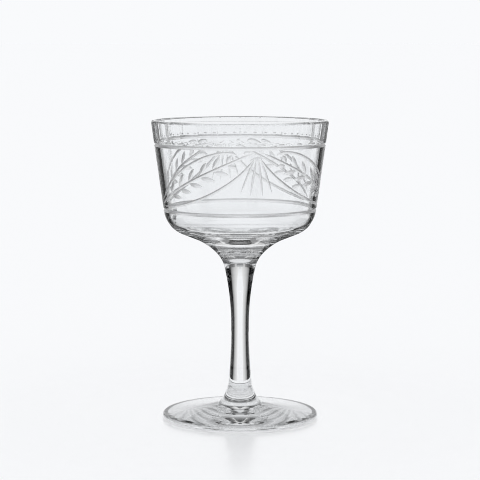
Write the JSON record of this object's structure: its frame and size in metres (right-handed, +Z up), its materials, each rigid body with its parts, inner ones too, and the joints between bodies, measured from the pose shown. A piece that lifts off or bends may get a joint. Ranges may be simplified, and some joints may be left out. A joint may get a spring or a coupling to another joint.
{
  "type": "nick and nora glass",
  "caption": "Clear cocktail glass: a straight-sided, slightly flared bowl with cut panels, rings and laurel swags, on a solid waisted stem and a round foot.",
  "frame": {"origin": "centre of the ring that the foot rests on", "axes": "+Z up the glass's axis, from the foot to the rim; -Y towards the viewer of the picture"},
  "size_m": [0.0814, 0.0818, 0.138],
  "materials": {
    "clear_glass": "polished clear glass, ring and laurel cuts left matt"
  },
  "bodies": {
    "root": {"bowl": "clear_glass", "stem": "clear_glass", "foot": "clear_glass"}
  },
  "joints": []
}
